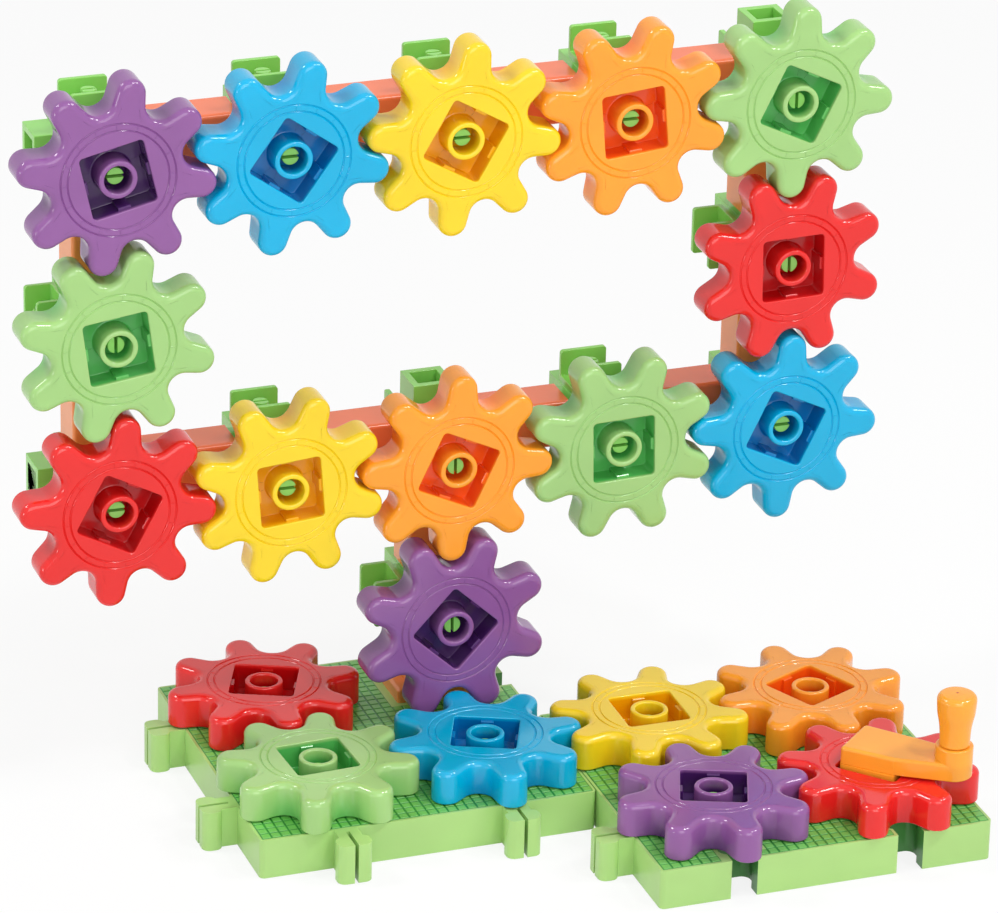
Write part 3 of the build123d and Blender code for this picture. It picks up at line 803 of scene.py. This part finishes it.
def knob_side():
    """Smooth side of the knob as (radius, height) pairs, from its foot to its head."""
    crown_foot = KNOB_TOP - KNOB_DOME - KNOB_CROWN
    points = [(radius * PITCH, BOSS_TOP + height * PITCH) for radius, height in KNOB_WAIST]
    points.append((KNOB_HEAD_R, crown_foot))
    padded = [points[0]] + points + [(KNOB_HEAD_R, crown_foot + 2 * MM)]
    side = []
    for k in range(1, len(padded) - 2):
        p0, p1, p2, p3 = (Vector(p) for p in padded[k - 1:k + 3])
        for step in range(5):
            t = step / 5
            bend = (2 * p1 + (p2 - p0) * t + (2 * p0 - 5 * p1 + 4 * p2 - p3) * t * t
                    + (3 * p1 - p0 - 3 * p2 + p3) * t ** 3) / 2
            side.append((bend.x, bend.y))
    side.append(points[-1])
    return side


def add_knob():
    """Turned knob: waisted side, rounded crown, slightly domed top and a blind bore."""
    joint = Vector(JOINT_OF_BODY[NODE_BODY["crank_knob"]]["pos_m"])
    mesh = bmesh.new()
    side = knob_side()
    bore_top = KNOB_FOOT + KNOB_BORE_DEPTH
    foot_r = side[0][0]
    profile = [
        (KNOB_BORE_R, bore_top),
        (KNOB_BORE_R, KNOB_FOOT + KNOB_BORE_EDGE),
        (KNOB_BORE_R + KNOB_BORE_EDGE, KNOB_FOOT),
        (foot_r - 0.2 * MM, KNOB_FOOT),
        (foot_r - 0.06 * MM, KNOB_FOOT + 0.1 * MM),
    ]
    profile += side
    rim = KNOB_TOP - KNOB_DOME
    crown = reversed(round_steps(KNOB_CROWN, 8)[:-1])
    profile += [(KNOB_HEAD_R - inset, rim - drop) for inset, drop in crown]
    for share in (0.75, 0.5, 0.25):
        profile.append(((KNOB_HEAD_R - KNOB_CROWN) * share, rim + KNOB_DOME * (1 - share ** 2)))
    loops = []
    for radius, z in profile:
        loops.append(add_loop(mesh, circle(radius, AROUND), z))
    closed_stack(mesh, loops)
    bmesh.ops.recalc_face_normals(mesh, faces=mesh.faces)
    add_replacement("crank_knob", mesh, Matrix.Translation((joint.x, joint.y, PLATE_TOP)))

    mesh = bmesh.new()
    loops = []
    for radius, z in GATE_MARK:
        points = [(joint.x + x, joint.y + y) for x, y in circle(radius, 16)]
        loops.append(add_loop(mesh, points, PLATE_TOP + KNOB_TOP + z - GATE_SINK))
    closed_stack(mesh, loops)
    node = "crank_knob"
    add_detail("knob_gate_mark", mesh, "gate_mark", NODE_BODY[node])


# ---------------------------------------------------------------- stage and light
WHITE = (1, 1, 1, 1)
FLOOR_COLOUR = (0.92, 0.92, 0.92, 1)
FLOOR_HALF = 3.0
FLOOR_Z = -0.0002                # just under the toy
FLOOR_WHITE_SHARE = 0.85         # the rest keeps the shadow
WORLD_STRENGTH = 0.32
LAMP_TARGET = Vector((0, 0, 0.10))
LAMPS = (                        # name, direction, distance, size and power
    ("front_fill", (-0.12, -0.90, 0.42), 2.0, 1.4, 18),
    ("key", (0.317, -0.414, 0.853), 1.5, 0.17, 5),
    ("left_box", (-0.627, 0.234, 0.743), 1.5, 0.30, 6.5),
    ("right_box", (0.627, -0.234, 0.743), 1.5, 0.30, 6.5),
    ("low_left", (-0.853, -0.317, 0.05), 1.5, 0.30, 2.5),
)


def seen_directly(tree, path):
    """1 for rays from the camera or from a gloss, which see plain white, else 0."""
    either = tree.nodes.new("ShaderNodeMath")
    either.operation = "MAXIMUM"
    tree.links.new(path.outputs["Is Camera Ray"], either.inputs[0])
    tree.links.new(path.outputs["Is Glossy Ray"], either.inputs[1])
    return either.outputs[0]


def add_floor():
    """Large pale floor that fades into the background and keeps the shadow."""
    mesh = bmesh.new()
    mesh.faces.new(add_loop(mesh, square(0, 0, FLOOR_HALF), FLOOR_Z))
    floor = add_object("floor", mesh_data("floor", mesh))
    material = bpy.data.materials.new("floor")
    material.use_nodes = True
    tree = material.node_tree
    tree.nodes.clear()
    out = tree.nodes.new("ShaderNodeOutputMaterial")
    mix = tree.nodes.new("ShaderNodeMixShader")
    matt = tree.nodes.new("ShaderNodeBsdfDiffuse")
    matt.inputs["Color"].default_value = FLOOR_COLOUR
    glow = tree.nodes.new("ShaderNodeEmission")
    glow.inputs["Color"].default_value = WHITE
    glow.inputs["Strength"].default_value = 1
    path = tree.nodes.new("ShaderNodeLightPath")
    share = tree.nodes.new("ShaderNodeMath")
    share.operation = "MULTIPLY"
    share.inputs[1].default_value = FLOOR_WHITE_SHARE
    tree.links.new(seen_directly(tree, path), share.inputs[0])
    tree.links.new(share.outputs[0], mix.inputs["Fac"])
    tree.links.new(matt.outputs[0], mix.inputs[1])
    tree.links.new(glow.outputs[0], mix.inputs[2])
    tree.links.new(mix.outputs[0], out.inputs["Surface"])
    floor.data.materials.append(material)


def add_world():
    """Even white surroundings, plain white where the camera sees them."""
    world = bpy.data.worlds.new("surroundings")
    bpy.context.scene.world = world
    world.use_nodes = True
    tree = world.node_tree
    tree.nodes.clear()
    out = tree.nodes.new("ShaderNodeOutputWorld")
    mix = tree.nodes.new("ShaderNodeMixShader")
    soft = tree.nodes.new("ShaderNodeBackground")
    soft.inputs["Color"].default_value = WHITE
    soft.inputs["Strength"].default_value = WORLD_STRENGTH
    white = tree.nodes.new("ShaderNodeBackground")
    white.inputs["Color"].default_value = WHITE
    white.inputs["Strength"].default_value = 1
    path = tree.nodes.new("ShaderNodeLightPath")
    tree.links.new(seen_directly(tree, path), mix.inputs["Fac"])
    tree.links.new(soft.outputs[0], mix.inputs[1])
    tree.links.new(white.outputs[0], mix.inputs[2])
    tree.links.new(mix.outputs[0], out.inputs["Surface"])


def add_lamp(name, toward, distance, size, power):
    """Square soft lamp in a direction from the toy, aimed at the toy."""
    data = bpy.data.lights.new(name, "AREA")
    data.size = size
    data.energy = power
    lamp = add_object(name, data)
    place = LAMP_TARGET + Vector(toward).normalized() * distance
    aim = (LAMP_TARGET - place).to_track_quat("-Z", "Y")
    lamp.matrix_world = Matrix.Translation(place) @ aim.to_matrix().to_4x4()


add_camera()
add_floor()
add_world()
for lamp in LAMPS:
    add_lamp(*lamp)

for place, turns in WALL_TURNS.items():
    add_gear(f"{place}_gear", turns, True)
for node, turns in BASE_TURNS.items():
    add_gear(node, turns, False)
for node in PLATES:
    paint_slot_shade(rounded_copy(node, PLATE_EDGE, keep_level=True), node)
    add_tiles(node)
add_crank_arm()
add_knob()
wall_gears = {f"{place}_gear" for place in WALL_TURNS}
done = wall_gears | set(BASE_TURNS) | set(PLATES) | {"crank_arm", "crank_knob"}
for node in sorted(set(frame["nodes"]) - done):
    rounded_copy(node, CONNECTOR_EDGE if node.endswith("connector") else OTHER_EDGE)

bpy.context.scene.view_settings.view_transform = "Standard"
